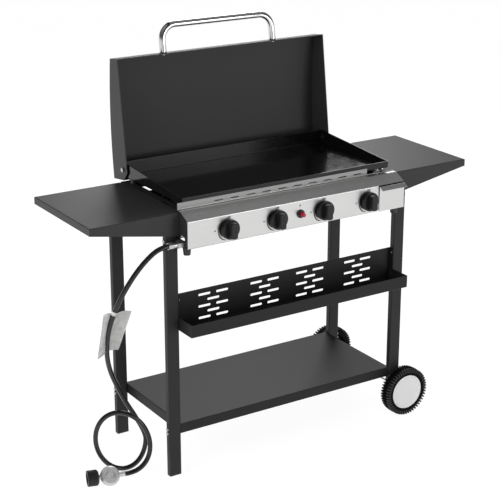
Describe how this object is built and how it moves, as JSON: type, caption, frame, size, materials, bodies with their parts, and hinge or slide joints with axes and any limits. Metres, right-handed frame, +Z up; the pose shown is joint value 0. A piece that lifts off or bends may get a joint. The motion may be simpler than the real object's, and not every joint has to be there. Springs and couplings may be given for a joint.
{
  "type": "gas griddle",
  "caption": "Free-standing gas griddle on a wheeled cart, with a hinged lid, flat cooking plate, knob panel, side tables, condiment tray, lower shelf, hose and regulator.",
  "frame": {"origin": "middle of the cart's plan at floor level, measured without the gas hose and its regulator", "axes": "+X to the right as the cook faces the knobs, +Y to the back, +Z up"},
  "size_m": [1.3659, 0.5292, 1.3084],
  "materials": {
    "black_powder_coat": "satin powder coat",
    "black_enamel": "gloss enamel",
    "brushed_steel": "brushed stainless",
    "polished_steel": "polished",
    "zinc_steel": "zinc plated",
    "burner_steel": "plain tube",
    "brass": "turned",
    "die_cast_grey": "die cast",
    "black_plastic": "moulded",
    "pale_grey_plastic": "moulded",
    "red_plastic": "moulded",
    "white_ceramic": "glazed ceramic",
    "black_rubber": "smooth hose"
  },
  "bodies": {
    "cart": {"front_left_leg": "black_powder_coat", "front_right_leg": "black_powder_coat", "rear_left_leg": "black_powder_coat", "rear_right_leg": "black_powder_coat", "leg_foot_caps": "black_plastic", "lower_shelf": "black_powder_coat", "condiment_tray": "black_powder_coat", "wheel_axle": "zinc_steel", "axle_push_nuts": "zinc_steel", "side_table_left": "black_powder_coat", "side_table_right": "black_powder_coat", "shelf_bolts": "zinc_steel", "box_bolts": "zinc_steel", "tray_screws": "zinc_steel", "mount_spacers": "zinc_steel", "firebox_left_side": "black_powder_coat", "firebox_right_side": "black_powder_coat", "firebox_rear_panel": "black_powder_coat", "firebox_floor": "zinc_steel", "box_feet": "black_plastic", "control_panel": "brushed_steel", "griddle_plate": "black_enamel", "plate_spacers": "zinc_steel", "drain_spout": "zinc_steel", "hinge_bolts": "zinc_steel", "front_burner_rail": "zinc_steel", "rear_burner_rail": "zinc_steel", "gas_manifold": "zinc_steel", "valve_bodies": "brass", "igniter_body": "black_plastic", "igniter_electrode": "white_ceramic", "drawer_rails": "zinc_steel", "gas_inlet_fitting": "zinc_steel", "hose_drop": "black_rubber", "hose_loop": "black_rubber", "regulator": "die_cast_grey", "burner_1": "burner_steel", "burner_2": "burner_steel", "burner_3": "burner_steel", "burner_4": "burner_steel"},
    "lid": {"lid_shell": "black_powder_coat", "lid_handle": "polished_steel", "handle_screws": "zinc_steel"},
    "igniter_button": {"igniter_button": "red_plastic"},
    "grease_drawer": {"grease_drawer": "brushed_steel"},
    "front_wheel": {"front_wheel": "black_plastic", "front_wheel_cap": "pale_grey_plastic"},
    "rear_wheel": {"rear_wheel": "black_plastic", "rear_wheel_cap": "pale_grey_plastic"},
    "regulator_hand_nut": {"regulator_hand_nut": "black_plastic"},
    "valve_stem_1": {"valve_stem_1": "brass"},
    "knob_1": {"knob_1": "black_plastic"},
    "valve_stem_2": {"valve_stem_2": "brass"},
    "knob_2": {"knob_2": "black_plastic"},
    "valve_stem_3": {"valve_stem_3": "brass"},
    "knob_3": {"knob_3": "black_plastic"},
    "valve_stem_4": {"valve_stem_4": "brass"},
    "knob_4": {"knob_4": "black_plastic"}
  },
  "joints": [
    {"name": "lid_hinge", "type": "hinge", "parent": "cart", "child": "lid", "pos_m": [0, 0.1874, 0.877], "axis": [1, 0, 0], "range_deg": [0, 93.1]},
    {"name": "igniter_push", "type": "slide", "parent": "cart", "child": "igniter_button", "axis": [0, 1, 0], "range_m": [0, 0.005], "stiffness_N_per_m": 900, "springref_m": -0.003},
    {"name": "drawer_slide", "type": "slide", "parent": "cart", "child": "grease_drawer", "axis": [0, -1, 0], "range_m": [0, 0.09]},
    {"name": "front_wheel_roll", "type": "hinge", "parent": "cart", "child": "front_wheel", "pos_m": [0.444, -0.2011, 0.082], "axis": [0, 1, 0], "continuous": true},
    {"name": "rear_wheel_roll", "type": "hinge", "parent": "cart", "child": "rear_wheel", "pos_m": [0.444, 0.2249, 0.082], "axis": [0, 1, 0], "continuous": true},
    {"name": "hand_nut_turn", "type": "hinge", "parent": "cart", "child": "regulator_hand_nut", "pos_m": [-0.66249, -0.10301, 0.026], "axis": [-0.9613, 0.2756, 0], "continuous": true},
    {"name": "valve_turn_1", "type": "hinge", "parent": "cart", "child": "valve_stem_1", "pos_m": [-0.25395, -0.2276, 0.78], "axis": [0, -1, 0], "range_deg": [0, 180]},
    {"name": "knob_push_1", "type": "slide", "parent": "valve_stem_1", "child": "knob_1", "axis": [0, 1, 0], "range_m": [0, 0.004], "stiffness_N_per_m": 900, "springref_m": -0.004},
    {"name": "valve_turn_2", "type": "hinge", "parent": "cart", "child": "valve_stem_2", "pos_m": [-0.08465, -0.2276, 0.78], "axis": [0, -1, 0], "range_deg": [0, 180]},
    {"name": "knob_push_2", "type": "slide", "parent": "valve_stem_2", "child": "knob_2", "axis": [0, 1, 0], "range_m": [0, 0.004], "stiffness_N_per_m": 900, "springref_m": -0.004},
    {"name": "valve_turn_3", "type": "hinge", "parent": "cart", "child": "valve_stem_3", "pos_m": [0.08465, -0.2276, 0.78], "axis": [0, -1, 0], "range_deg": [0, 180]},
    {"name": "knob_push_3", "type": "slide", "parent": "valve_stem_3", "child": "knob_3", "axis": [0, 1, 0], "range_m": [0, 0.004], "stiffness_N_per_m": 900, "springref_m": -0.004},
    {"name": "valve_turn_4", "type": "hinge", "parent": "cart", "child": "valve_stem_4", "pos_m": [0.25395, -0.2276, 0.78], "axis": [0, -1, 0], "range_deg": [0, 180]},
    {"name": "knob_push_4", "type": "slide", "parent": "valve_stem_4", "child": "knob_4", "axis": [0, 1, 0], "range_m": [0, 0.004], "stiffness_N_per_m": 900, "springref_m": -0.004}
  ]
}
